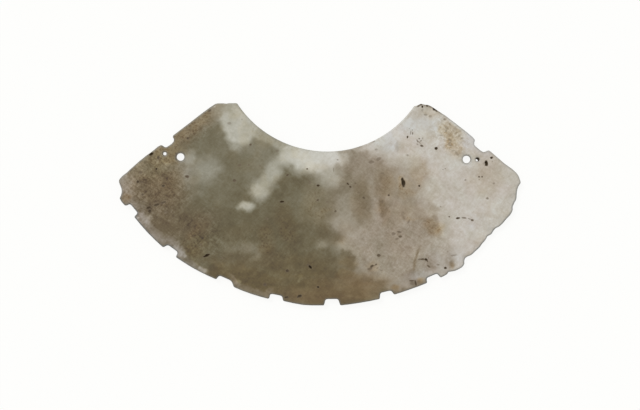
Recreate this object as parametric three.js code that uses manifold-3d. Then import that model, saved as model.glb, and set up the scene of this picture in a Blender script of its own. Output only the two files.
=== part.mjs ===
// Curved jade pendant: one flat arc of stone with a notched rim, worn ends and four drilled holes.
// Lengths are in millimetres. The plate lies flat with +Z up and its hollow side towards +Y.
import * as THREE from 'three';
import { mergeVertices } from 'three/addons/utils/BufferGeometryUtils.js';
import Module from 'manifold-3d';

const wasm = await Module();
wasm.setup();

const degree = Math.PI / 180;

// The plate, between a large outer arc, the rim, and a small inner arc
const plateThickness = 3.2;
const edgeRounding = 0.2;
const outerRadius = 100.8;
const innerRadius = 43;

// Where the inner arc's centre lies from the rim's centre
const innerCentreRight = 0.8;
const innerCentreUp = 3.85;

// Swings are angles from straight down, positive to the right: about the rim's centre for the rim and the
// holes, and about the inner arc's centre for the inner arc
const rimHalfSweep = 58 * degree;
const innerLeftSweep = 56.4 * degree;
const innerRightSweep = 54.8 * degree;
const arcStep = 2.5 * degree;

// The two tips, flat on top, from the inner arc outwards
const leftTipWidth = 8.3;
const rightTipWidth = 6.4;
const tipWear = 1;

// How far the worn ends swell outwards past a straight line from corner to tip
const endSwell = 1.4;

// The notches sawn into the rim, whose lands stand a little uneven
const notchWidth = 6.2;
const notchDepth = 2.4;
const notchCornerRounding = 0.8;
const lipRounding = 0.5;
const landWander = 0.4;

// How far inside the rim's arc the two corners lie: the left one beside a worn bay, the right one at the end
// of a long break
const leftCornerDepth = 4.2;
const rightCornerDepth = 7;
const brokenEdgeRounding = 0.4;

// The holes, drilled from both faces so that each narrows to a waist
const largeHoleRadius = 1.5;
const largeMouthRadius = 1.9;
const wideMouthRadius = 2.15;
const largeHoleRimInset = 29.9;
const leftSmallHoleRadius = 0.65;
const leftSmallMouthRadius = 0.95;
const leftSmallHoleRimInset = 25.4;
const rightSmallHoleRadius = 0.46;
const rightSmallMouthRadius = 0.85;
const rightSmallHoleRimInset = 26.4;
const slantedDrillLean = 20 * degree;
const slantedDrillHeading = 53 * degree;
const cutOverrun = 1;

// Counts of facets
const edgeRoundingSteps = 1;
const holeSides = 32;

// How far a rounded corner turns at each of its facets, and the most that it takes of the side next to it
const facetTurn = 28 * degree;
const roundedSideShare = 0.4;

// The rim's notches from left to right. Swings are shares of the rim's half sweep. The mouth, the floor and
// the floor's lean to the right are shares of the notch width, and the depths are shares of the notch depth.
const rimNotchShares = [
  { swing: -0.880, mouth: 0.90, floor: 0.80, lean: 0.03, leftDepth: 1.04, rightDepth: 1.08 },
  { swing: -0.655, mouth: 1.03, floor: 0.80, lean: 0.03, leftDepth: 0.81, rightDepth: 0.86 },
  { swing: -0.404, mouth: 1.25, floor: 0.87, lean: -0.12, leftDepth: 1.08, rightDepth: 1.08 },
  { swing: -0.192, mouth: 0.96, floor: 0.78, lean: -0.05, leftDepth: 0.98, rightDepth: 1.00 },
  { swing: 0.030, mouth: 1.06, floor: 0.83, lean: 0.00, leftDepth: 1.08, rightDepth: 1.04 },
  { swing: 0.249, mouth: 0.96, floor: 0.74, lean: 0.00, leftDepth: 1.03, rightDepth: 1.00 },
  { swing: 0.445, mouth: 0.92, floor: 0.76, lean: 0.00, leftDepth: 0.90, rightDepth: 0.82 },
];

// How far each land lies inside the rim's arc at its left end, middle and right end, as shares of the land
// wander. The first land ends at the first notch, and the last one runs from the last notch to the break.
const landDepthShares = [
  [0.70, 0.75, 1.20],
  [1.25, 0.50, 0.10],
  [0.25, 0.80, 1.80],
  [1.80, 1.10, 0.70],
  [1.50, 0.05, 0.20],
  [-0.30, 0.20, 0.40],
  [1.00, 1.05, 0.65],
  [-0.45, -0.55, -0.65],
];

// The worn bay beside the left corner, from the corner to the first land: swing as a share of the rim's half
// sweep, and depth inside the rim's arc as a share of the left corner's
const leftBayShares = [
  [-1.006, 0.97],
  [-0.983, 0.86],
  [-0.968, 0.79],
  [-0.957, 0.57],
  [-0.948, 0.29],
  [-0.945, 0.10],
];

// The broken stretch of the rim, from the last land to the right corner: swing as a share of the rim's half
// sweep, and depth inside the rim's arc as a share of the right corner's
const brokenRimShares = [
  [0.504, -0.04],
  [0.510, 0.04],
  [0.522, -0.04],
  [0.538, -0.11],
  [0.555, -0.14],
  [0.569, -0.13],
  [0.581, -0.06],
  [0.588, 0.11],
  [0.594, 0.19],
  [0.603, 0.21],
  [0.614, 0.17],
  [0.625, 0.14],
  [0.649, 0.18],
  [0.667, 0.19],
  [0.686, 0.27],
  [0.705, 0.31],
  [0.722, 0.40],
  [0.732, 0.34],
  [0.746, 0.35],
  [0.759, 0.42],
  [0.771, 0.39],
  [0.787, 0.31],
  [0.816, 0.33],
  [0.847, 0.32],
  [0.866, 0.38],
  [0.880, 0.54],
  [0.896, 0.59],
  [0.910, 0.60],
  [0.926, 0.74],
  [0.944, 0.89],
  [0.961, 0.95],
  [0.978, 0.96],
  [0.984, 1.04],
];

// The two ends, each from its corner to its tip, with the notch sawn into it. The first number is a share of
// the end's length, and the second is a share of the end's swell, outwards.
const leftEndShares = [
  [0.000, 0.00],
  [0.043, 0.33],
  [0.087, 0.31],
  [0.217, 0.62],
  [0.302, 0.66],
  [0.340, 0.55],
  [0.418, 0.60],
  [0.446, 0.46],
  [0.455, -0.75],
  [0.468, -1.08],
  [0.533, -1.22],
  [0.556, -0.74],
  [0.564, 0.41],
  [0.640, 0.37],
  [0.743, 0.31],
  [0.843, 0.30],
  [0.945, 0.18],
  [1.000, 0.00],
];
const rightEndShares = [
  [0.000, 0.00],
  [0.037, 0.72],
  [0.065, 1.02],
  [0.120, 1.10],
  [0.196, 0.88],
  [0.306, 0.95],
  [0.354, 0.98],
  [0.377, 0.90],
  [0.390, -0.18],
  [0.402, -0.57],
  [0.429, -0.65],
  [0.495, -0.62],
  [0.508, -0.25],
  [0.519, 0.72],
  [0.557, 0.87],
  [0.623, 0.87],
  [0.739, 0.75],
  [0.844, 0.58],
  [0.930, 0.24],
  [1.000, 0.00],
];

// The two tips, each from the top of its end to the inner arc: a share of the tip's width inwards, and a
// height above the inner corner as a share of the tip's wear
const leftTipShares = [
  [0.00, 0.00],
  [0.40, 0.02],
  [0.48, -0.20],
  [0.56, 0.00],
  [0.70, 0.20],
  [0.92, 0.18],
];
const rightTipShares = [
  [0.00, 0.25],
  [0.17, 0.55],
  [0.38, 0.60],
  [0.55, 1.05],
  [0.75, 0.45],
  [0.90, 0.10],
];

// A place on the plate from a swing about the rim's centre and a depth inside the rim's arc
function rimPlace(swing, depth) {
  const radius = outerRadius - depth;
  return new THREE.Vector2(radius * Math.sin(swing), -radius * Math.cos(swing));
}

// A place on the inner arc from a swing about that arc's centre
function innerPlace(swing) {
  const right = innerCentreRight + innerRadius * Math.sin(swing);
  const up = innerCentreUp - innerRadius * Math.cos(swing);
  return new THREE.Vector2(right, up);
}

// A corner of the outline and the length by which it is rounded off
function corner(place, rounding = 0) {
  return { place, rounding };
}

// The four corners of a rim notch, from its left lip to its right lip, where the lands beside it end
function notchCorners(shares, leftLandShare, rightLandShare) {
  const middle = shares.swing * rimHalfSweep;
  const halfMouth = notchWidth * shares.mouth / 2;
  const halfFloor = notchWidth * shares.floor / 2;
  const lean = notchWidth * shares.lean;
  const swingOf = (along) => middle + along / outerRadius;
  return [
    corner(rimPlace(swingOf(-halfMouth), landWander * leftLandShare), lipRounding),
    corner(rimPlace(swingOf(lean - halfFloor), notchDepth * shares.leftDepth), notchCornerRounding),
    corner(rimPlace(swingOf(lean + halfFloor), notchDepth * shares.rightDepth), notchCornerRounding),
    corner(rimPlace(swingOf(halfMouth), landWander * rightLandShare), lipRounding),
  ];
}

// Points strictly between two swings along the rim, whose depth changes evenly over each half
function landCorners(startSwing, endSwing, [startShare, middleShare, endShare]) {
  const steps = Math.max(2, Math.ceil((endSwing - startSwing) / arcStep));
  const points = [];
  for (let step = 1; step < steps; step += 1) {
    const share = step / steps;
    const swing = THREE.MathUtils.lerp(startSwing, endSwing, share);
    const towardsEnd = Math.abs(2 * share - 1);
    const depthShare = THREE.MathUtils.lerp(middleShare, share < 0.5 ? startShare : endShare, towardsEnd);
    points.push(corner(rimPlace(swing, landWander * depthShare)));
  }
  return points;
}

// The rim from the left corner to the right corner: the bay, the lands between the notches, and the break
function rimCorners() {
  const bay = leftBayShares.map(([swing, depth]) => (
    corner(rimPlace(swing * rimHalfSweep, depth * leftCornerDepth), lipRounding)
  ));
  const broken = brokenRimShares.map(([swing, depth]) => (
    corner(rimPlace(swing * rimHalfSweep, depth * rightCornerDepth), brokenEdgeRounding)
  ));
  const points = [...bay];
  let landStart = leftBayShares.at(-1)[0] * rimHalfSweep;
  rimNotchShares.forEach((shares, index) => {
    const halfMouthSwing = notchWidth * shares.mouth / 2 / outerRadius;
    const middle = shares.swing * rimHalfSweep;
    points.push(...landCorners(landStart, middle - halfMouthSwing, landDepthShares[index]));
    points.push(...notchCorners(shares, landDepthShares[index].at(-1), landDepthShares[index + 1][0]));
    landStart = middle + halfMouthSwing;
  });
  points.push(...landCorners(landStart, brokenRimShares[0][0] * rimHalfSweep, landDepthShares.at(-1)));
  points.push(...broken);
  return points;
}

// An end from its rim corner to the top of its tip. The side is 1 on the right and -1 on the left.
function endCorners(start, stop, shares, side) {
  const along = stop.clone().sub(start);
  const outward = new THREE.Vector2(along.y, -along.x).normalize().multiplyScalar(side);
  return shares.map(([lengthShare, swellShare]) => {
    const place = start.clone().addScaledVector(along, lengthShare);
    place.addScaledVector(outward, endSwell * swellShare);
    return corner(place, lipRounding);
  });
}

// A tip from the top of its end inwards to the inner arc
function tipPlaces(innerCorner, width, shares, side) {
  return shares.map(([widthShare, wearShare]) => (
    new THREE.Vector2(
      innerCorner.x + side * width * (1 - widthShare),
      innerCorner.y + tipWear * wearShare,
    )
  ));
}

// The inner arc from the right tip to the left tip, both its ends included
function innerArcCorners() {
  const sweep = innerLeftSweep + innerRightSweep;
  const steps = Math.ceil(sweep / arcStep);
  const points = [];
  for (let step = 0; step <= steps; step += 1) {
    points.push(corner(innerPlace(innerRightSweep - sweep * step / steps)));
  }
  return points;
}

// The whole outline as corners, anticlockwise from the left corner
function outlineCorners() {
  const leftTip = tipPlaces(innerPlace(-innerLeftSweep), leftTipWidth, leftTipShares, -1);
  const rightTip = tipPlaces(innerPlace(innerRightSweep), rightTipWidth, rightTipShares, 1);
  const rim = rimCorners();
  const leftCorner = rim[0].place;
  const rightCorner = rim.at(-1).place;
  const rightEnd = endCorners(rightCorner, rightTip[0], rightEndShares, 1);
  const leftEnd = endCorners(leftCorner, leftTip[0], leftEndShares, -1);
  const tipCorner = (place) => corner(place, lipRounding);
  return [
    ...rim,
    ...rightEnd.slice(1),
    ...rightTip.slice(1).map(tipCorner),
    ...innerArcCorners(),
    ...leftTip.slice(1).reverse().map(tipCorner),
    ...leftEnd.slice(1).reverse(),
  ];
}

// Corners rounded off into short curves that start and end where the rounding reaches along each side, or
// less where a side is short. A corner that hardly turns stays as it is.
function roundedOutline(corners) {
  const points = [];
  corners.forEach(({ place, rounding }, index) => {
    const before = corners.at(index - 1).place;
    const after = corners[(index + 1) % corners.length].place;
    const toBefore = before.clone().sub(place);
    const toAfter = after.clone().sub(place);
    const turn = Math.PI - Math.acos(toBefore.dot(toAfter) / toBefore.length() / toAfter.length());
    const steps = Math.round(turn / facetTurn);
    if (rounding === 0 || steps === 0) {
      points.push(place);
      return;
    }
    const reachBefore = Math.min(rounding, roundedSideShare * toBefore.length());
    const reachAfter = Math.min(rounding, roundedSideShare * toAfter.length());
    const start = place.clone().add(toBefore.setLength(reachBefore));
    const stop = place.clone().add(toAfter.setLength(reachAfter));
    points.push(...new THREE.QuadraticBezierCurve(start, place, stop).getPoints(steps));
  });
  return points;
}

// The plate before drilling, its face edges rounded off
function blankGeometry() {
  const geometry = new THREE.ExtrudeGeometry(new THREE.Shape(roundedOutline(outlineCorners())), {
    depth: plateThickness - 2 * edgeRounding,
    bevelThickness: edgeRounding,
    bevelSize: edgeRounding,
    bevelOffset: -edgeRounding,
    bevelSegments: edgeRoundingSteps,
    curveSegments: 1,
  });
  return geometry.translate(0, 0, edgeRounding);
}

// The space that drilling from both faces leaves: two cones that meet at a waist halfway through.
// A drill that leans comes out of the front face towards its heading, which is measured from +X.
function drilledGeometry({ waistRadius, backMouthRadius, frontMouthRadius, lean, heading }) {
  const halfThickness = plateThickness / 2;
  const reach = halfThickness + cutOverrun;
  const radiusAt = (mouthRadius) => waistRadius + (mouthRadius - waistRadius) * reach / halfThickness;
  const profile = [
    new THREE.Vector2(0, -reach),
    new THREE.Vector2(radiusAt(backMouthRadius), -reach),
    new THREE.Vector2(waistRadius, 0),
    new THREE.Vector2(radiusAt(frontMouthRadius), reach),
    new THREE.Vector2(0, reach),
  ];
  const geometry = new THREE.LatheGeometry(profile, holeSides);
  return geometry.rotateX(Math.PI / 2).rotateY(lean).rotateZ(heading);
}

// The holes: a large one in each end, and a small one between it and the end's edge
const holes = [
  {
    swingShare: -0.938,
    rimInset: largeHoleRimInset,
    waistRadius: largeHoleRadius,
    backMouthRadius: wideMouthRadius,
    frontMouthRadius: largeMouthRadius,
    lean: 0,
    heading: 0,
  },
  {
    swingShare: -1,
    rimInset: leftSmallHoleRimInset,
    waistRadius: leftSmallHoleRadius,
    backMouthRadius: leftSmallMouthRadius,
    frontMouthRadius: leftSmallMouthRadius,
    lean: 0,
    heading: 0,
  },
  {
    swingShare: 0.921,
    rimInset: largeHoleRimInset,
    waistRadius: largeHoleRadius,
    backMouthRadius: largeMouthRadius,
    frontMouthRadius: wideMouthRadius,
    lean: 0,
    heading: 0,
  },
  {
    swingShare: 0.950,
    rimInset: rightSmallHoleRimInset,
    waistRadius: rightSmallHoleRadius,
    backMouthRadius: rightSmallMouthRadius,
    frontMouthRadius: rightSmallMouthRadius,
    lean: slantedDrillLean,
    heading: slantedDrillHeading,
  },
];

// A closed geometry as a solid that can be cut
function solidOf(geometry) {
  geometry.deleteAttribute('normal');
  geometry.deleteAttribute('uv');
  const merged = mergeVertices(geometry);
  return new wasm.Manifold(new wasm.Mesh({
    numProp: 3,
    vertProperties: new Float32Array(merged.attributes.position.array),
    triVerts: new Uint32Array(merged.index.array),
  }));
}

// A solid as a geometry that can be shown
function geometryOf(solid) {
  const mesh = solid.getMesh();
  const geometry = new THREE.BufferGeometry();
  geometry.setAttribute('position', new THREE.BufferAttribute(mesh.vertProperties, 3));
  geometry.setIndex(new THREE.BufferAttribute(mesh.triVerts, 1));
  geometry.computeVertexNormals();
  return geometry;
}

// The finished plate: the blank with every hole drilled through it
function plateGeometry() {
  let solid = solidOf(blankGeometry());
  for (const hole of holes) {
    const place = rimPlace(hole.swingShare * rimHalfSweep, hole.rimInset);
    const drilled = drilledGeometry(hole).translate(place.x, place.y, plateThickness / 2);
    solid = solid.subtract(solidOf(drilled));
  }
  return geometryOf(solid);
}

// Nephrite, grey-green and softly polished
const jade = new THREE.MeshStandardMaterial({
  color: 0x8f8974,
  roughness: 0.38,
  metalness: 0,
  flatShading: true,
});

const plate = new THREE.Mesh(plateGeometry(), jade);
plate.name = 'jade_plate';

// The origin is the middle of the plate's box, on the face that it lies on
plate.geometry.computeBoundingBox();
const box = plate.geometry.boundingBox;
const middle = box.getCenter(new THREE.Vector3());
plate.position.set(-middle.x, -middle.y, -box.min.z);

const pendant = new THREE.Group();
pendant.name = 'curved_pendant';
pendant.add(plate);

export default pendant;
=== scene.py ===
import math

import bmesh
import bpy
import numpy as np
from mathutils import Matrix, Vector
from mathutils.geometry import delaunay_2d_cdt


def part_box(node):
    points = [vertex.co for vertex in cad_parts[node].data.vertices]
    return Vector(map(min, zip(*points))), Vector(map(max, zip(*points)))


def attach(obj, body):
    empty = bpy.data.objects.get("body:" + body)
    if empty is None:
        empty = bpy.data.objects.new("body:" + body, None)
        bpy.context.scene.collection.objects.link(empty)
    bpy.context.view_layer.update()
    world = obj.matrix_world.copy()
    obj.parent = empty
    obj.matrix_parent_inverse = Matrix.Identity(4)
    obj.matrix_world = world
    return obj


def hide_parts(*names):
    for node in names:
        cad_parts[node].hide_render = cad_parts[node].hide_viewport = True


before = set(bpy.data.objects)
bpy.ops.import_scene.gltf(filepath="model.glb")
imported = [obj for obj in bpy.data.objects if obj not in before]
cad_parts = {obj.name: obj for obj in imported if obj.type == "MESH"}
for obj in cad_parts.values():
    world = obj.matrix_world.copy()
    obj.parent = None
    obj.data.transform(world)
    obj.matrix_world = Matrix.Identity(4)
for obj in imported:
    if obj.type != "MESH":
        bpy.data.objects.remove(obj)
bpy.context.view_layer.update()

# The curved pendant: one thin arc of nephrite, lying on its back. Shapes are worked out in millimetres in the
# plate's own plane, X to the right and Y towards the hollow side, and become metres when the mesh is made.
MM = 0.001
LOW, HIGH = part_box("jade_plate")
THICKNESS = (HIGH.z - LOW.z) / MM
MIDDLE = THICKNESS / 2

# Places in the stone are given as the camera sees them, in steps across and down its frame. The plate's
# middle lies at MIDDLE_ACROSS, MIDDLE_DOWN, and a step is STEP millimetres.
FRAME_ACROSS = 640
FRAME_DOWN = 410
MIDDLE_ACROSS = 319.89
MIDDLE_DOWN = 204.29
STEP = 0.4


def place(across, down):
    """A place in the camera's frame as millimetres on the plate: its steps from the middle times STEP."""
    return (across - MIDDLE_ACROSS) * STEP, (MIDDLE_DOWN - down) * STEP


def ease(value, start, stop):
    """A smooth step: 0 before start, 1 after stop, and 3 t^2 - 2 t^3 between them."""
    share = np.clip((value - start) / (stop - start), 0, 1)
    return share * share * (3 - 2 * share)


def mix(first, second, share):
    """A share of the second and the rest of the first."""
    return first + (second - first) * share


HILL_CORNERS = 64


def hills(x, y, size, seed):
    """Smooth random hills between 0 and 1: a random height at every corner of a square lattice whose side is
    size, blended across each square by smooth steps. The lattice repeats after HILL_CORNERS squares."""
    heights = np.random.default_rng(seed).random((HILL_CORNERS, HILL_CORNERS))
    u, v = x / size, y / size
    i, j = np.floor(u).astype(int), np.floor(v).astype(int)
    right, up = ease(u - i, 0, 1), ease(v - j, 0, 1)
    i, j = i % HILL_CORNERS, j % HILL_CORNERS
    next_i, next_j = (i + 1) % HILL_CORNERS, (j + 1) % HILL_CORNERS
    lower = mix(heights[i, j], heights[next_i, j], right)
    upper = mix(heights[i, next_j], heights[next_i, next_j], right)
    return mix(lower, upper, up)


def clouds(x, y, size, seed, layers=4):
    """Random hills added up, each layer half as large and half as strong as the one before, about 0 to 1."""
    total = 0
    strength = 1
    for layer in range(layers):
        total = total + strength * hills(x, y, size / 2 ** layer, seed + layer)
        strength *= 0.5
    return total / (2 - 2 * strength)


# The outline

MERGE_DISTANCE = 1e-6
POINTS_AT_ONCE = 4000
LEAST_RISE = 1e-12


def cut_loops(node):
    """The outlines of a CAD plate cut flat at half its thickness, in millimetres, the largest first. The
    cut's edges are followed from one end to the next until each loop closes."""
    cut = bmesh.new()
    cut.from_mesh(node.data)
    bmesh.ops.remove_doubles(cut, verts=cut.verts, dist=MERGE_DISTANCE)
    geometry = cut.verts[:] + cut.edges[:] + cut.faces[:]
    half = (0, 0, MIDDLE * MM)
    found = bmesh.ops.bisect_plane(cut, geom=geometry, plane_co=half, plane_no=(0, 0, 1))["geom_cut"]
    beside = {}
    for edge in found:
        if isinstance(edge, bmesh.types.BMEdge):
            first, second = edge.verts
            beside.setdefault(first, []).append(second)
            beside.setdefault(second, []).append(first)
    loops = []
    while beside:
        start = next(iter(beside))
        chain = [start]
        while True:
            following = [vert for vert in beside.pop(chain[-1]) if vert in beside]
            if not following:
                break
            chain.append(following[0])
        loops.append(np.array([vert.co[:2] for vert in chain]) / MM)
    cut.free()
    return sorted(loops, key=len, reverse=True)


def turned_left(loop):
    """The same loop, running anticlockwise: reversed where twice its area comes out negative."""
    ahead = np.roll(loop, -1, 0)
    area = (loop[:, 0] * ahead[:, 1] - ahead[:, 0] * loop[:, 1]).sum()
    return loop if area > 0 else loop[::-1]


def evenly_spaced(loop, spacing):
    """Points at an even spacing along a closed loop, by the length walked along it."""
    closed = np.vstack([loop, loop[:1]])
    walked = np.concatenate([[0], np.cumsum(np.hypot(*np.diff(closed, axis=0).T))])
    stops = np.linspace(0, walked[-1], round(walked[-1] / spacing), endpoint=False)
    return np.column_stack([np.interp(stops, walked, closed[:, axis]) for axis in (0, 1)])


def normals_of(loop):
    """Unit normals pointing out of an anticlockwise loop: the direction between neighbours, turned right."""
    along = np.roll(loop, -1, 0) - np.roll(loop, 1, 0)
    along /= np.hypot(*along.T)[:, None]
    return np.column_stack([along[:, 1], -along[:, 0]])


def distance_to(loop, points):
    """Distance from each point to a closed loop: the nearest loop point is found, then the nearest place on
    the two sides that meet there."""
    best = np.empty(len(points))
    for start in range(0, len(points), POINTS_AT_ONCE):
        some = points[start:start + POINTS_AT_ONCE]
        squares = (some ** 2).sum(1)[:, None] + (loop ** 2).sum(1)[None] - 2 * some @ loop.T
        nearest = squares.argmin(1)
        closest = np.full(len(some), np.inf)
        for step in (-1, 0):
            here = loop[(nearest + step) % len(loop)]
            side = loop[(nearest + step + 1) % len(loop)] - here
            share = np.clip(((some - here) * side).sum(1) / (side ** 2).sum(1), 0, 1)
            foot = here + side * share[:, None]
            closest = np.minimum(closest, np.hypot(*(some - foot).T))
        best[start:start + POINTS_AT_ONCE] = closest
    return best


def inside(loop, points):
    """Whether each point lies inside a loop: a line to its right crosses the loop an odd number of times. A
    level side gets the least rise, so that nothing is divided by 0."""
    ahead = np.roll(loop, -1, 0)
    rise = ahead[:, 1] - loop[:, 1]
    rise[rise == 0] = LEAST_RISE
    crossings = np.zeros(len(points), int)
    for start in range(0, len(points), POINTS_AT_ONCE):
        across, up = points[start:start + POINTS_AT_ONCE].T[:, :, None]
        between = (loop[:, 1] > up) != (ahead[:, 1] > up)
        reached = loop[:, 0] + (up - loop[:, 1]) * (ahead[:, 0] - loop[:, 0]) / rise
        crossings[start:start + POINTS_AT_ONCE] = (between & (reached > across)).sum(1)
    return crossings % 2 == 1


# The rim is worn a little unevenly, and rough where it has broken away, between two places in steps. It is an
# arc whose middle lies RIM_MIDDLE up from the plate's own.
RIM_SPACING = 0.3
RIM_WEAR = 0.05
RIM_WEAR_SIZE = 1.8
BREAK_START = (447, 275)
BREAK_END = (520, 184)
BREAK_ROUGHNESS = 0.16
BREAK_SIZE = 1.1
RIM_MIDDLE = 60.3
RIM_RADIUS = 100.8
LEFT_FULLNESS = 0.14


def broken_share(x, y):
    """How much a place belongs to the broken stretch of the rim: 1 within 3 mm of the line between its ends,
    0 beyond the ends and from 6 mm in, with soft borders."""
    first, last = place(*BREAK_START), place(*BREAK_END)
    along = np.array(last) - np.array(first)
    share = ((x - first[0]) * along[0] + (y - first[1]) * along[1]) / (along @ along)
    beyond = (x - first[0]) * along[1] - (y - first[1]) * along[0]
    depth = beyond / np.hypot(*along)
    return ease(share, -0.05, 0.03) * ease(-share, -1.06, -0.99) * ease(depth, -6, -3)


def worn_outline(loop):
    """The plate's outline, moved inwards along its normals by random hills, more where the rim is broken, and
    slightly outwards on the left end and the left of the rim's arc, but not beyond the plate's own box."""
    loop = evenly_spaced(turned_left(loop), RIM_SPACING)
    x, y = loop.T
    wear = RIM_WEAR * clouds(x, y, RIM_WEAR_SIZE, seed=11)
    wear += BREAK_ROUGHNESS * broken_share(x, y) * clouds(x, y, BREAK_SIZE, seed=12)
    on_arc = ease(np.hypot(x, y - RIM_MIDDLE) - RIM_RADIUS, -2.2, -1)
    wear -= LEFT_FULLNESS * ease(-x, -12, 8) * np.maximum(on_arc, ease(y, 0, 6))
    low, high = loop.min(axis=0), loop.max(axis=0)
    return np.clip(loop - normals_of(loop) * wear[:, None], low, high)


# The holes, from left to right: drilled from both faces, so each narrows to a waist at half the thickness.
# Each has its mouths' radii, the slope by which a leaning drill moved it sideways as it rises, and how dark
# the painted shade on its wall is, from 0 to 1.
HOLES = [
    {"front": 0.95, "back": 0.95, "slope": (0, 0), "stain_and_shade": 0.0},
    {"front": 1.9, "back": 2.15, "slope": (0, 0), "stain_and_shade": 0.0},
    {"front": 1.8, "back": 1.9, "slope": (0, 0), "stain_and_shade": 0.25},
    {"front": 0.8, "back": 0.85, "slope": (0.13, 0.21), "stain_and_shade": 0.8},
]
HOLE_SIDES = 56
WAIST_SOFTNESS = 0.25
HOLE_LIP = 0.1
TURNS = np.linspace(0, 2 * np.pi, HOLE_SIDES, endpoint=False)
CIRCLE = np.column_stack([np.cos(TURNS), np.sin(TURNS)])


def hole_middle(hole, z):
    """Where a hole's axis lies at a height: its waist moved by its slope times the height over the waist."""
    return hole["waist"] + np.multiply.outer(z - MIDDLE, hole["slope"])


def hole_radius(hole, z):
    """A hole's radius at a height: a hyperbola from the waist to the mouth, so the waist is worn smooth."""
    rise = (z - MIDDLE) / MIDDLE
    mouth = np.where(rise > 0, hole["front"], hole["back"])
    soft = WAIST_SOFTNESS
    reach = (np.sqrt(rise ** 2 + soft ** 2) - soft) / (math.sqrt(1 + soft ** 2) - soft)
    return mix(hole["radius"], mouth, reach)


def mouth_circle(hole, side):
    """The middle and the radius of a hole's mouth on the front (1) or the back (-1), with its worn lip."""
    return hole_middle(hole, MIDDLE * (1 + side)), hole["front" if side > 0 else "back"] + HOLE_LIP


def hole_mouth(hole, side, wider=0):
    """The circle round a hole's mouth, or a wider one, as points, anticlockwise."""
    middle, radius = mouth_circle(hole, side)
    return middle + (radius + wider) * CIRCLE


def mouth_distance(hole, side, points):
    """Distance from each point to the rim of a hole's mouth, negative inside it."""
    middle, radius = mouth_circle(hole, side)
    return np.hypot(*(points - middle).T) - radius


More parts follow.
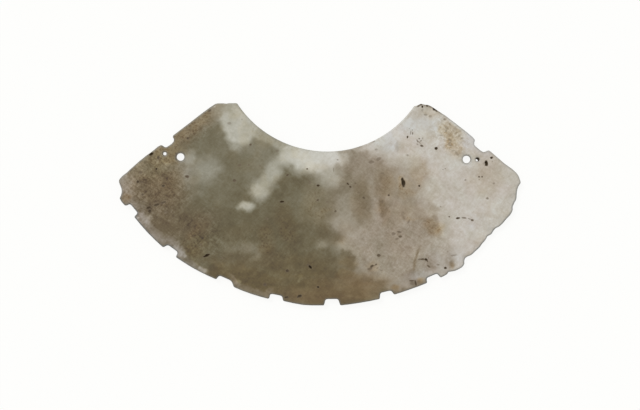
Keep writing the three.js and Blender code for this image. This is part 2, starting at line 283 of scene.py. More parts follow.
# Dark specks and pits. Each row: across, down, half length and half width in steps, darkness from 0 to 1,
# depth, and the turn in degrees anticlockwise where there is one.
SPECK_WANDER = 0.5
SPECK_BORDER = (0.75, 1.4)
FRONT_SPECKS = [
    (402.5, 180.2, 2.7, 1.3, 0.9, 0.25, 92), (403.5, 183.2, 3.5, 1.9, 0.92, 0.3, 97),
    (403.4, 186.9, 1.5, 0.8, 0.5, 0.1), (486.1, 162.6, 1.8, 1.5, 1, 0.3, 90),
    (486.5, 164.4, 1.6, 1.5, 0.9, 0.2), (491.6, 157.7, 1.4, 1.1, 0.88, 0.12, 15),
    (483.9, 163.4, 1, 1.2, 0.22, 0.02), (436.1, 148.4, 1.5, 1.4, 0.9, 0.2),
    (407.5, 136.9, 0.8, 1.2, 0.75, 0.05), (410.6, 132.6, 0.5, 1.8, 0.42, 0.03, -8),
    (412.6, 133.4, 0.6, 1.2, 0.55, 0.03), (412.4, 130, 0.5, 0.8, 0.3, 0.03),
    (409.4, 128.6, 0.5, 0.6, 0.25, 0.02), (419.2, 138.7, 0.8, 0.7, 0.55, 0.03),
    (417.4, 141, 0.6, 1.3, 0.5, 0.03, 25), (421, 140.8, 1, 0.6, 0.5, 0.03, 40),
    (419.4, 142.4, 1.8, 0.5, 0.4, 0.04, -42), (417.6, 144.4, 1.2, 0.5, 0.36, 0.03, -40),
    (422.6, 138.4, 0.5, 1, 0.34, 0.03, -20), (421.9, 145.9, 1.6, 1.1, 0.62, 0.06, -20),
    (407.6, 155.3, 1.2, 0.9, 0.32, 0.03), (419.3, 185.9, 1, 0.9, 0.85, 0.12),
    (388.7, 195.2, 1, 0.9, 0.7, 0.08), (487.5, 198.4, 1.3, 1, 0.45, 0.06),
    (479.1, 176.8, 0.8, 0.7, 0.85, 0.05), (482.1, 176.8, 0.8, 0.7, 0.75, 0.05),
    (465.4, 180, 1, 0.9, 0.35, 0.03), (479.3, 179.4, 0.5, 0.5, 0.45, 0.04),
    (494, 183.5, 1, 0.8, 0.35, 0.04), (492.3, 161.3, 0.5, 0.5, 0.4, 0.04),
    (442.9, 169.6, 0.6, 0.5, 0.4, 0.04), (445.3, 168.7, 0.8, 0.5, 0.4, 0.04, 10),
    (440.6, 206.8, 0.7, 0.6, 0.45, 0.04), (449.3, 216.7, 0.8, 0.7, 0.6, 0.05, -30),
    (457.9, 218.2, 1.9, 0.9, 0.8, 0.1, 10), (464, 217.9, 2.3, 0.8, 0.5, 0.06, -8),
    (472.3, 220.2, 1.5, 1, 0.6, 0.08, -20), (469.6, 218.9, 1.8, 0.6, 0.4, 0.05, -15),
    (400.1, 236.6, 1.7, 1.1, 0.58, 0.05), (399.4, 232, 2.1, 0.9, 0.5, 0.03, -10),
    (393.4, 233.8, 1.9, 1.4, 0.44, 0.03), (397, 238.8, 1.7, 1, 0.42, 0.02, 10),
    (378.8, 255.4, 1.7, 1.5, 0.64, 0.08), (426, 259.5, 1.5, 1.1, 0.9, 0.1, -30),
    (427.3, 261.1, 1.2, 0.7, 0.66, 0.05, -55), (422.8, 259.2, 2.2, 1, 0.64, 0.05),
    (419.8, 259.4, 1.8, 0.9, 0.48, 0.03), (428.5, 258, 0.6, 1, 0.34, 0.02),
    (428.8, 266.4, 1.9, 0.8, 0.6, 0.03, -40), (445.4, 268, 1.3, 1.1, 0.85, 0.1),
    (438.2, 264.8, 1.5, 0.7, 0.4, 0.03), (453.7, 255.4, 2.9, 0.8, 0.35, 0.04, 8),
    (447.7, 251.8, 0.7, 0.6, 0.3, 0.03), (371.8, 266.3, 1.9, 1.3, 0.66, 0.06, 30),
    (376.2, 264.4, 1, 0.7, 0.66, 0.05, 45), (374.4, 265.5, 1.6, 0.5, 0.44, 0.03, 20),
    (370, 268.8, 2.4, 1.3, 0.5, 0.04, 12), (377.4, 268, 1.3, 0.5, 0.32, 0.02, 35),
    (381.4, 270.2, 1.2, 0.6, 0.38, 0.03, 5), (380.8, 266.6, 1, 0.4, 0.28, 0.02, 45),
    (411.8, 280.8, 2.4, 0.8, 0.6, 0.04), (415.6, 283, 1, 2.6, 0.7, 0.05, 12),
    (412.4, 283.4, 2.4, 1.6, 0.4, 0.03, 10), (402.7, 213.8, 2.4, 1.5, 0.18, 0.02, 75),
    (404, 218.8, 2.4, 1.2, 0.18, 0.02, 85), (408.6, 221.8, 2.1, 1, 0.4, 0.02, 60),
    (425.2, 221, 1.6, 0.9, 0.18, 0.02), (206.9, 255.4, 2.8, 1.3, 1, 0.24, 22),
    (204.6, 256.4, 1.4, 1, 0.9, 0.12), (221.9, 257.8, 1.2, 0.9, 0.4, 0.05),
    (310.2, 266.9, 2.3, 1.2, 1, 0.2, -48), (307.8, 265, 1.2, 0.8, 0.6, 0.06),
    (287.3, 270.8, 1.7, 1.4, 0.76, 0.05), (299.8, 296, 2.2, 1.4, 0.85, 0.1, 10),
    (298, 297.3, 1, 0.8, 0.7, 0.05), (286.3, 297.4, 2.2, 1, 0.8, 0.1, 5),
    (318.1, 287.1, 1.1, 1, 0.95, 0.08), (264.8, 284.5, 1.6, 1.4, 0.66, 0.05),
    (200.5, 244.5, 1.1, 0.8, 0.45, 0.05, 30), (281.9, 201.7, 2.4, 1, 0.96, 0.12, 5),
    (187.8, 138.2, 1.4, 1, 0.72, 0.05, 20), (250.5, 144.6, 1.2, 1, 0.6, 0.08),
    (229.4, 123.4, 1.8, 1.3, 0.3, 0.04), (277, 151, 1.4, 1.1, 0.32, 0.03),
    (187.1, 176.6, 2, 1.3, 0.64, 0.06, -20), (156.5, 168.9, 1, 1, 0.95, 0.1),
    (137.9, 181.7, 1.5, 1.2, 0.8, 0.05), (141.7, 182, 0.7, 0.8, 0.5, 0.04),
    (140.6, 172.4, 1.6, 1.2, 0.5, 0.04), (163.4, 185.8, 1.9, 1.2, 0.75, 0.08, 15),
    (151.3, 154, 2, 1.3, 1, 0.15, 30), (158.4, 157.6, 1.3, 1.9, 0.66, 0.06, 10),
    (209.7, 110.6, 1.8, 1.1, 0.62, 0.06, 35), (234.4, 180.6, 1.6, 1.4, 0.62, 0.04),
    (239.3, 165.2, 1.7, 1.1, 0.5, 0.02), (248.7, 165.2, 1, 0.9, 0.4, 0.02),
    (260, 165.6, 1.1, 0.9, 0.22, 0.02), (242, 119.4, 0.8, 0.6, 0.24, 0.02),
    (307.1, 168.9, 0.9, 0.8, 0.65, 0.05), (287.6, 175, 1.3, 0.9, 0.7, 0.05, 30),
    (333.6, 169.7, 0.4, 1.9, 0.45, 0.03), (347.8, 183.8, 1.5, 0.8, 0.8, 0.06, -45),
    (350.3, 186.9, 1.2, 0.9, 0.7, 0.05, -45), (355.4, 183.4, 0.9, 0.8, 0.5, 0.04),
    (359, 192.6, 1.4, 0.8, 0.3, 0.03), (382.4, 201.4, 1, 1.2, 0.45, 0.03),
    (378.6, 158.8, 2.4, 1.4, 0.34, 0.03, 20), (371.2, 162, 2.4, 1.4, 0.4, 0.03),
    (376.2, 149.6, 1.4, 1, 0.3, 0.02), (382.4, 173.4, 1.6, 0.9, 0.3, 0.02),
    (373.4, 141.8, 1.5, 0.5, 0.4, 0.03, 20), (318, 185.5, 1.4, 1, 0.9, 0.08),
    (317.9, 200.1, 1.2, 1, 0.64, 0.06), (335.5, 211.3, 1.1, 0.9, 0.6, 0.06, 20),
    (327.6, 201.7, 1.4, 1, 0.32, 0.02), (363.8, 197.7, 1.4, 1, 0.62, 0.04, -40),
    (337.6, 159.8, 0.9, 0.6, 0.4, 0.03), (309.6, 182.3, 1.1, 1.5, 0.35, 0.04, 20),
    (292.6, 199.1, 0.9, 0.7, 0.3, 0.03), (266.9, 218.6, 1.4, 1.2, 0.35, 0.04),
    (142.8, 194.6, 1.3, 1.1, 0.6, 0.05), (143.4, 201.6, 1.1, 0.9, 0.4, 0.04, 20),
    (149.8, 211.2, 1.8, 1.7, 0.8, 0.06), (148.6, 207.6, 2.6, 1.2, 0.84, 0.05, 20),
    (156.4, 204.8, 3, 1.2, 0.76, 0.04, 16), (163.4, 202.4, 2.6, 1.1, 0.66, 0.03, 20),
    (165.8, 211.8, 1.6, 1.2, 0.34, 0.03), (166, 211.6, 1.4, 0.8, 0.35, 0.04, 15),
    (231, 254, 0.9, 0.7, 0.25, 0.03), (418.6, 106, 1.6, 0.9, 0.62, 0.1, 40),
    (420.8, 104.7, 1.9, 0.8, 0.66, 0.12, 12), (424.4, 105.6, 1.2, 1.1, 0.42, 0.06),
    (422.4, 106.6, 0.9, 1.2, 0.98, 0.12), (427.1, 105.7, 1.3, 1.1, 0.74, 0.1, -5),
    (430.6, 107, 1.8, 0.6, 0.34, 0.04, -22), (434.1, 109.2, 1.7, 1.1, 1, 0.14, -42),
    (436.4, 110.9, 1.1, 0.8, 0.86, 0.08, -38), (440.2, 113.2, 2.2, 0.4, 0.24, 0.02, -35),
    (422.4, 110.2, 1, 1.3, 0.26, 0.03), (444.6, 119.4, 1.2, 1, 0.36, 0.04, -35),
    (425.5, 114.8, 1.6, 1.1, 0.34, 0.03), (430.3, 116.4, 1.6, 1.1, 0.3, 0.03),
    (450.2, 124.6, 1.8, 0.6, 0.3, 0.03, -40), (446, 131, 0.9, 1.3, 0.3, 0.03, -20),
    (441.6, 135.2, 2.2, 0.5, 0.32, 0.03), (450, 140, 1.9, 1, 0.36, 0.03, -35),
    (450.6, 145.4, 1.8, 1, 0.3, 0.03, -10), (462, 138.4, 1.2, 1, 0.3, 0.03),
    (453, 150.8, 1.8, 0.7, 0.26, 0.03, 10), (446.6, 127.8, 2.2, 1.2, 0.24, 0.02, -40),
    (456.4, 132.8, 2.6, 0.9, 0.22, 0.02, 25), (459.8, 135.4, 1.7, 0.9, 0.26, 0.02, 45),
    (449.2, 143.6, 2.4, 1.1, 0.28, 0.02, 40), (456.8, 153.4, 2.4, 1, 0.24, 0.02, -55),
    (397.2, 146.4, 1.4, 5, 0.12, 0),
]
BACK_SPECKS = [
    (360, 170, 1.6, 1.2, 0.7, 0.12, 20), (470, 200, 2.4, 1.1, 0.6, 0.1, -30),
    (200, 170, 1.4, 1.2, 0.6, 0.08), (250, 260, 2.6, 1, 0.8, 0.14, 15), (300, 240, 1.2, 1, 0.5, 0.06),
    (420, 270, 1.8, 1, 0.5, 0.08, 40), (440, 140, 1.3, 1, 0.6, 0.08), (160, 200, 1.6, 1.2, 0.6, 0.08, 10),
    (330, 290, 1.4, 1, 0.5, 0.06), (230, 130, 1.1, 0.9, 0.5, 0.05),
]


def ellipse_share(x, y, across, down, half_length, half_width, turn=0):
    """How far each point lies from an ellipse's middle, as a share of the way to its edge: the point is
    turned into the ellipse's own axes and each part is divided by its half length."""
    middle_x, middle_y = place(across, down)
    cosine, sine = math.cos(math.radians(turn)), math.sin(math.radians(turn))
    right, up = x - middle_x, y - middle_y
    along = (right * cosine + up * sine) / (half_length * STEP)
    aside = (up * cosine - right * sine) / (half_width * STEP)
    return np.hypot(along, aside)


def speck_fields(x, y, specks):
    """Darkness and depth of the specks. Each one's border wanders with small hills; its darkness fades out
    across the border, and its pit is a bowl, (1 - share^2)^2 deep."""
    wander = SPECK_WANDER * (clouds(x, y, 0.5, seed=31, layers=2) - 0.5)
    darkness = np.zeros(len(x))
    depth = np.zeros(len(x))
    for across, down, half_length, half_width, dark, deep, *turn in specks:
        share = ellipse_share(x, y, across, down, half_length, half_width, *turn) + wander
        darkness = np.maximum(darkness, dark * (1 - ease(share, *SPECK_BORDER)))
        depth = np.maximum(depth, deep * np.clip(1 - share ** 2, 0, 1) ** 2)
    return darkness, depth


# Flakes broken off the rim's faces: across and down in steps, radius and depth. On the back each scar lies up
# to BACK_SHIFT steps aside.
BACK_SHIFT = 2.5
FLAKE_UNEVENNESS = (0.65, 1.35)
RIPPLE = 0.06
RIPPLE_RATE = 14
FLAKES = [
    (519, 187.5, 1.6, 0.32), (517, 199.5, 3, 0.5), (512.5, 214, 1.4, 0.4), (506, 222, 3.4, 0.46),
    (493.5, 233, 2.7, 0.58), (486.5, 241.5, 1.3, 0.3), (479.5, 250, 3.1, 0.5), (467, 260, 2.4, 0.52),
    (462, 268.5, 1.4, 0.26), (451, 274, 2.3, 0.36), (118, 190, 2.2, 0.45), (136.5, 216, 1.3, 0.3),
    (213.5, 105, 1.2, 0.25), (413.4, 106.4, 1, 0.2), (422, 102.8, 1.8, 0.45), (432, 106.5, 1.5, 0.35),
    (254, 118.5, 0.9, 0.25), (173, 247.5, 1.2, 0.3), (232, 286, 1.3, 0.35), (262, 298.5, 1.6, 0.35),
    (345, 306, 1.3, 0.3), (391.5, 293, 1.1, 0.25), (427, 281, 1.1, 0.3),
]


def flake_depth(x, y, side):
    """How deep the flake scars are: each is a shallow bowl, (1 - share^2) deep, with faint ripples round it,
    and random hills make its border uneven."""
    depth = np.zeros(len(x))
    uneven = mix(*FLAKE_UNEVENNESS, clouds(x, y, 1.8, seed=47, layers=3))
    for number, (across, down, radius, deep) in enumerate(FLAKES):
        shift = 0 if side > 0 else BACK_SHIFT * math.sin(3.1 * number)
        middle_x, middle_y = place(across + shift, down + shift)
        share = uneven * np.hypot(x - middle_x, y - middle_y) / radius
        ripple = 1 + RIPPLE * np.sin(RIPPLE_RATE * share)
        depth = np.maximum(depth, deep * np.clip(1 - share ** 2, 0, 1) * ripple)
    return depth


# Relief of the two faces, whose pits and scars go no deeper than a share of the thickness
GRINDING_WAVES = 0.07
GRINDING_WAVE_SIZE = 26
POLISH_WAVES = 0.02
POLISH_WAVE_SIZE = 6
EDGE_ROUNDING = 0.3
EDGE_ROUNDING_WANDER = 0.34
EDGE_ROUNDING_SIZE = 7
LIP_DEPTH = 0.08
LIP_WIDTH = 0.35
DEEPEST_SHARE = 0.42


def edge_rounding(x, y, side):
    """The radius to which the face's edge is worn: a least radius and random hills."""
    hilly = clouds(x, y, EDGE_ROUNDING_SIZE, seed=41 + side, layers=3)
    return EDGE_ROUNDING + EDGE_ROUNDING_WANDER * hilly


def face_depth(points, side, edge_gap, hole_gaps, specks):
    """How far a face lies under the plate's full thickness: long grinding waves, small polishing waves, a
    quarter round along the edge, flake scars, pits, and worn lips round the holes."""
    x, y = points.T
    depth = GRINDING_WAVES * clouds(x, y, GRINDING_WAVE_SIZE, seed=51 + side, layers=2)
    depth += POLISH_WAVES * clouds(x, y, POLISH_WAVE_SIZE, seed=54 + side, layers=3)
    radius = edge_rounding(x, y, side)
    inwards = np.clip(radius - edge_gap, 0, None)
    depth += radius - np.sqrt(radius ** 2 - inwards ** 2)
    depth = np.maximum(depth, flake_depth(x, y, side))
    depth += speck_fields(x, y, specks)[1]
    for gap in hole_gaps:
        depth += LIP_DEPTH * np.clip(1 - gap / LIP_WIDTH, 0, 1) ** 2
    return np.minimum(depth, DEEPEST_SHARE * THICKNESS)


# The faces are meshed with points on triangular lattices, finer along the edge and finest round the specks,
# and with rings of points along the edge and round the holes. A speck's margins are in steps. A lattice has
# 1.155 rows to a spacing: a little less counts for the first row in a box and a little more for the last.
COARSE = {1: 0.6, -1: 0.9}
NEAR_EDGE = {1: 0.32, -1: 0.5}
FINE = {1: 0.15, -1: 0.3}
EDGE_BAND = 1.7
EDGE_RINGS = (0.035, 0.13, 0.27, 0.45, 0.66)
HOLE_RINGS = (0.06, 0.16, 0.3)
PAST_EDGE_RINGS = 0.1
PAST_HOLE_RINGS = 0.08
RING_SHARE = 0.93
SPECK_MARGIN = 1.1
SPECK_BOX_MARGIN = 1.2
ROWS_FROM = 1.15
ROWS_TO = 1.16
TOUCHING = 1e-9


def lattice_points(rows, columns, spacing):
    """Points of a triangular lattice from row and column numbers: every other row is moved by half a step."""
    x = (columns + 0.5 * (rows % 2)) * spacing
    return np.column_stack([x, rows * spacing * math.sqrt(3) / 2])


def lattice_over(low, high, spacing):
    """Every lattice point in a box."""
    rows = np.arange(math.floor(low[1] / spacing * ROWS_FROM), math.ceil(high[1] / spacing * ROWS_TO) + 1)
    columns = np.arange(math.floor(low[0] / spacing), math.ceil(high[0] / spacing) + 1)
    grid = np.meshgrid(rows, columns)
    return lattice_points(grid[0].ravel(), grid[1].ravel(), spacing)


def near_specks(x, y, specks):
    """Whether each point lies on a speck or just beside it."""
    near = np.zeros(len(x), bool)
    for across, down, half_length, half_width, _, _, *turn in specks:
        wider = half_length + SPECK_MARGIN, half_width + SPECK_MARGIN
        near |= ellipse_share(x, y, across, down, *wider, *turn) < 1
    return near


def fine_points(specks, spacing):
    """Lattice points round every speck: the boxes round the specks, each point kept once."""
    found = []
    for across, down, half_length, half_width, *_ in specks:
        reach = (max(half_length, half_width) + SPECK_BOX_MARGIN) * STEP
        middle = np.array(place(across, down))
        found.append(lattice_over(middle - reach, middle + reach, spacing))
    return np.unique(np.round(np.vstack(found), 6), axis=0)


def face_points(outline, cad_outline, holes, side, specks):
    """The points inside a face: rings along the edge and round the holes, and three lattices. A ring leaves
    out points that come too close to another part of the edge."""
    outward = normals_of(outline)
    kept = []
    for inset in EDGE_RINGS:
        ring = outline - outward * inset
        kept.append(ring[distance_to(outline, ring) > RING_SHARE * inset])
    for hole in holes:
        for wider in HOLE_RINGS:
            kept.append(hole_mouth(hole, side, wider))
    low, high = outline.min(0), outline.max(0)
    coarse = lattice_over(low, high, COARSE[side])
    middle = lattice_over(low, high, NEAR_EDGE[side])
    fine = fine_points(specks, FINE[side])
    for level, points in enumerate((coarse, middle, fine)):
        points = points[inside(cad_outline, points)]
        gap = distance_to(outline, points)
        wanted = np.where(near_specks(*points.T, specks), 2, np.where(gap < EDGE_BAND, 1, 0))
        keep = (wanted == level) & (gap > EDGE_RINGS[-1] + PAST_EDGE_RINGS)
        for hole in holes:
            keep &= mouth_distance(hole, side, points) > HOLE_RINGS[-1] + PAST_HOLE_RINGS
        kept.append(points[keep])
    return np.vstack(kept)


def face_mesh(outline, cad_outline, holes, side, specks):
    """One face as points and triangles. The first points are the outline's, then the mouths of the holes, and
    then the points inside. The triangles are Delaunay's, kept inside the outline and out of the holes."""
    loops = [outline] + [hole_mouth(hole, side) for hole in holes]
    points = np.vstack(loops + [face_points(outline, cad_outline, holes, side, specks)])
    edges = []
    start = 0
    loop_of = np.full(len(points), -1)
    for number, loop in enumerate(loops):
        index = np.arange(start, start + len(loop))
        edges += list(zip(index.tolist(), np.roll(index, -1).tolist()))
        loop_of[index] = number
        start += len(loop)
    flat = [Vector(point) for point in points.tolist()]
    verts, _, faces, *_ = delaunay_2d_cdt(flat, edges, [], 0, TOUCHING, False)
    if len(verts) != len(points):
        raise ValueError(f"the face has {len(points)} points and its triangles {len(verts)}")
    triangles = np.array(faces)
    owners = loop_of[triangles]
    on_one_loop = (owners[:, 0] >= 0) & (owners == owners[:, :1]).all(1)
    middles = points[triangles[on_one_loop]].mean(1)
    kept = ~on_one_loop
    kept[on_one_loop] = (owners[on_one_loop, 0] == 0) & inside(outline, middles)
    triangles = triangles[kept]
    first, second, third = (points[triangles[:, corner]] for corner in range(3))
    area = np.cross(second - first, third - first)
    triangles[area < 0] = triangles[area < 0][:, ::-1]
    return points, triangles


# A soft patch on the stone is one row: across, down, half length and half width in steps, its level or
# strength, its turn in degrees and its border's softness, the last two left out where they are the usual ones
USUAL_TURN = 0
USUAL_SOFTNESS = 0.6


def patch_masks(x, y, patches):
    """Each patch's mask and value: the mask is full inside its ellipse and falls smoothly at its border."""
    for across, down, half_length, half_width, value, *rest in patches:
        turn, softness = (*rest, *(USUAL_TURN, USUAL_SOFTNESS)[len(rest):])
        share = ellipse_share(x, y, across, down, half_length, half_width, turn)
        yield 1 - ease(share, 1 - softness, 1 + softness), value


def strongest_patch(x, y, patches):
    """The strongest of the soft patches at each point."""
    strongest = np.zeros(len(x))
    for mask, strength in patch_masks(x, y, patches):
        strongest = np.maximum(strongest, strength * mask)
    return strongest


def patch_level(x, y, start, patches):
    """A start value, brought to each patch's level by that patch's mask in turn."""
    level = np.full(len(x), start, float)
    for mask, value in patch_masks(x, y, patches):
        level = mix(level, value, mask)
    return level


# How far random hills, long ones and short ones, move the borders of patches, and how long the hills are
LONG_BEND = 2.4
LONG_BEND_SIZE = 8
SHORT_BEND = 2.6
SHORT_BEND_SIZE = 2.2


def bent(x, y, seed):
    """Points moved by random hills, long ones and short ones, so that the borders laid out on them wander."""
    moved = []
    for number, values in enumerate((x, y)):
        long_hills = clouds(x, y, LONG_BEND_SIZE, seed + number, layers=2) - 0.5
        short_hills = clouds(x, y, SHORT_BEND_SIZE, seed + 2 + number, layers=3) - 0.5
        moved.append(values + LONG_BEND * long_hills + SHORT_BEND * short_hills)
    return moved


# How strongly the felted fibres show
LEAST_FELT = 0.3
FELT_PATCHES = [
    (150, 186, 40, 44, 1, 15, 0.5), (195, 235, 36, 30, 0.75), (196, 128, 30, 14, 0.7, 35),
    (430, 180, 110, 90, 0.42, 0, 0.3), (450, 135, 20, 24, 0.9, 30, 0.5), (270, 262, 80, 44, 0.36, 0, 0.4),
    (402, 246, 60, 36, 0.6, 0, 0.4),
]


def felt_of(x, y):
    """The strength of the felted fibres: a least strength, raised to the strongest soft patch."""
    return np.maximum(LEAST_FELT, strongest_patch(x, y, FELT_PATCHES))


# The stone's own light and dark, as the eye sees it from 0, black, to 255, white: dark stone with patches
# laid over it in this order, and mottled by random hills, which are level streaks along the bottom. The
# streaks begin and are full at these distances down from the middle.
DARK_STONE = 95
MOTTLING = 14
FELT_MOTTLING = 18
STREAK_MOTTLING = 20
STREAKS_DOWN = (18, 27)
TONE_PATCHES = [
    (204, 142, 44, 52, 107, 0, 0.5), (222, 178, 40, 24, 104), (264, 158, 18, 24, 117, -10, 0.8),
    (152, 178, 38, 34, 108, 20), (153, 161, 28, 14, 125, 35), (152, 186, 20, 9, 103, 10, 0.8),
    (122, 181, 12, 19, 144, 10), (126, 198, 6, 6, 126), (172, 150, 10, 14, 124, 30),
    (186, 128, 16, 9, 118, 35), (214, 110, 14, 10, 134, 20, 0.7), (197, 122, 12, 6, 129, 35),
    (208, 126, 8, 6, 108, 35), (202, 171.5, 19.5, 14.5, 128, 0, 0.4), (208, 168, 11, 9, 142),
    (189, 158, 6.5, 7, 154, 0, 0.5), (235, 127.5, 13, 22.5, 177, 13, 0.32), (230, 106, 13, 9, 154, 0, 0.5),
    (249, 121, 21, 8, 178, -48, 0.4), (267, 138, 20, 6, 150, -36), (252, 128, 8, 9, 174, -45),
    (249, 136.5, 8, 7, 168, -30), (229, 118, 8, 5, 167, 0, 0.7), (245, 142.5, 7, 5, 175, -20, 0.5),
    (213, 236, 7, 5, 81, 0, 0.7), (260, 190, 9, 8, 176, 0, 0.8), (272.3, 174.2, 8, 18, 162, -30),
    (296, 157, 14, 9, 182, 20), (290, 148, 11, 5, 174, -15), (285, 145.5, 9, 3.4, 154, 20),
    (297, 173.5, 6, 4, 122, -25), (320, 160, 30, 14, 194, 0, 0.45), (330, 177, 14, 12, 164),
    (246, 206, 9, 5.5, 166, 0, 0.5), (216, 250, 14, 7, 104, 0, 0.8), (243, 248, 17, 6, 117),
    (255, 257, 6, 5, 111), (250, 281, 16, 6, 87, -10, 0.8), (222, 268, 9, 6, 104, -20),
    (213, 273, 11, 5, 83, -25), (318, 288, 60, 16, 100), (281, 288, 12, 8, 91), (318, 204, 24, 20, 117),
    (372, 164, 16, 22, 136, -60), (400, 224, 63, 63, 143, 0, 0.22), (361, 200, 9, 22, 116),
    (344, 205, 8, 10, 139), (347, 148.5, 14, 3.5, 156, 10), (342, 170, 6, 4.5, 142, -40),
    (323, 243, 8, 5, 131), (383, 184, 9, 13, 126), (387, 216, 6, 16, 134), (383.5, 207, 3, 9, 112),
    (340, 223, 10, 9, 146), (352, 244, 17, 10, 148, 35), (335, 240, 7, 4.5, 104),
    (346.6, 263, 9.8, 13, 109, -20, 0.15), (362, 287.5, 27, 11.5, 112, -8, 0.14), (349, 280, 9, 5, 102),
    (300, 270, 8, 5, 103, 0, 0.8), (313, 303, 14, 3.5, 106), (299, 277.5, 1.5, 1.3, 122, 0, 0.5),
    (196, 192, 9, 6, 118, 0, 0.8), (145, 217, 6, 5, 150), (401, 285, 11, 5.5, 152),
    (395, 289, 6, 3.5, 128, -20), (394, 247, 12, 9, 140, 0, 0.7), (425, 250, 20, 12, 152, 0, 0.8),
    (378, 236, 6, 8, 136, 0, 0.8), (150, 211, 6, 5, 92), (200, 264, 10, 5, 106, -30),
    (484, 188, 62, 56, 185, 0, 0.22), (476, 236, 38, 36, 187, 0, 0.3), (456, 264, 18, 13, 180),
    (460, 263, 5, 8, 191), (449, 258, 4, 13, 158, 0, 0.7), (438, 274, 14, 5, 172, 10),
    (420, 275, 8, 4, 160, 10), (408, 138, 34, 19, 187, 38, 0.35), (440, 124, 20, 9, 194, -38),
    (370, 145, 15, 5, 180, 22), (375, 166, 11, 9, 130, 10), (372, 153, 5, 4, 168),
    (360, 156, 9, 4.5, 130, 25), (424, 140, 30, 26, 189, 0, 0.4), (397, 128, 30, 9, 201, 40),
    (420, 110, 16, 8, 178), (414, 113, 6, 5, 187), (427, 124, 13, 7, 199, 5, 0.7),
    (400, 149, 4, 7, 176, 0, 0.8), (472, 138, 12, 14, 194, -40), (412, 174, 13, 14, 157, 0, 0.8),
    (408, 163, 9, 5, 175, 0, 0.8), (431, 190, 8, 9, 179, 0, 0.8), (482, 206, 14, 9, 191, 0, 0.8),
    (490, 193, 7, 6, 180, 0, 0.8), (476, 222, 8, 6, 194, 0, 0.8), (433, 227.5, 10.5, 7, 131, -42, 0.5),
    (436, 217.5, 3.5, 3, 138), (434, 210, 9, 4.5, 156), (433.5, 170, 6, 9, 184, 0, 0.5),
    (436, 222, 3.5, 3, 146), (453, 141, 9, 13, 172, 20), (457, 124.5, 20, 3.8, 200, -39, 0.5),
    (490, 173, 14, 12, 173, 0, 0.7), (442, 246, 6, 16, 164, 0, 0.8), (448, 229, 5, 10, 170, 0, 0.8),
    (451.5, 265.5, 2.2, 3.6, 132, 0, 0.5), (461, 138, 6, 5, 184), (156, 204, 11, 2, 92, 12, 0.8),
    (196, 264, 4, 2.4, 156, 25, 0.5), (236, 283, 3.6, 2.4, 146, 30, 0.5), (461, 152, 4.5, 6, 172, -30),
    (178, 163, 4.5, 8, 124), (187, 174, 6, 7, 142), (133, 204, 5, 4.5, 140), (177, 152.5, 6, 5, 127),
    (209, 262.5, 6, 3.6, 107, -20), (163.5, 161.5, 2.6, 2.2, 138), (258, 151, 12, 6, 122, 0, 0.8),
    (362, 262, 5, 5, 144, 0, 0.8), (447, 123, 4, 4, 179), (433, 110, 4, 3, 190),
]


def streaky(y):
    """How far a place lies in the level streaks along the bottom."""
    return ease(-y, *STREAKS_DOWN)


def tone_of(x, y):
    """The stone's tone from 0 to 1: the patches' levels, bent by random hills so that no border is even, and
    further hills on top, stronger where the fibres are, and drawn out into level streaks along the bottom."""
    tone = patch_level(*bent(x, y, 61), DARK_STONE, TONE_PATCHES)
    tone += (MOTTLING + FELT_MOTTLING * felt_of(x, y)) * (clouds(x, y, 4, seed=65) - 0.5)
    tone += STREAK_MOTTLING * streaky(y) * (clouds(0.28 * x, y, 1.7, seed=67, layers=3) - 0.5)
    return tone / 255


# The levels of the paler band along the rim on the lower left
BAND_STONE = 121
BAND_MOTTLING = 0.16
BAND_PATCHES = [
    (142, 217, 10, 10, 144), (156, 237, 10, 9, 136, 40), (160, 236, 7, 4, 138, 45),
    (172, 246, 8, 4, 148, 35), (181, 251, 8, 6, 160, 30), (203, 267, 8, 4, 148, 25),
    (185, 256.5, 3, 1.6, 178, 20, 0.5), (191, 260, 5, 3, 102, 30, 0.5), (199, 265.5, 4, 2, 176, 30, 0.5),
    (236, 284, 3.5, 2.5, 158, 30, 0.5), (206, 270, 3.5, 1.6, 162, 30, 0.5), (242, 285.5, 11, 4, 117, 25),
    (262, 294, 9, 4, 114, 10),
]


def band_tone_of(x, y):
    """The paler band's tone from 0 to 1: its patches' levels, bent the same way, with finer hills on top."""
    level = patch_level(*bent(x, y, 93), BAND_STONE, BAND_PATCHES)
    return level / 255 + BAND_MOTTLING * (clouds(x, y, 1.8, seed=99, layers=2) - 0.5)


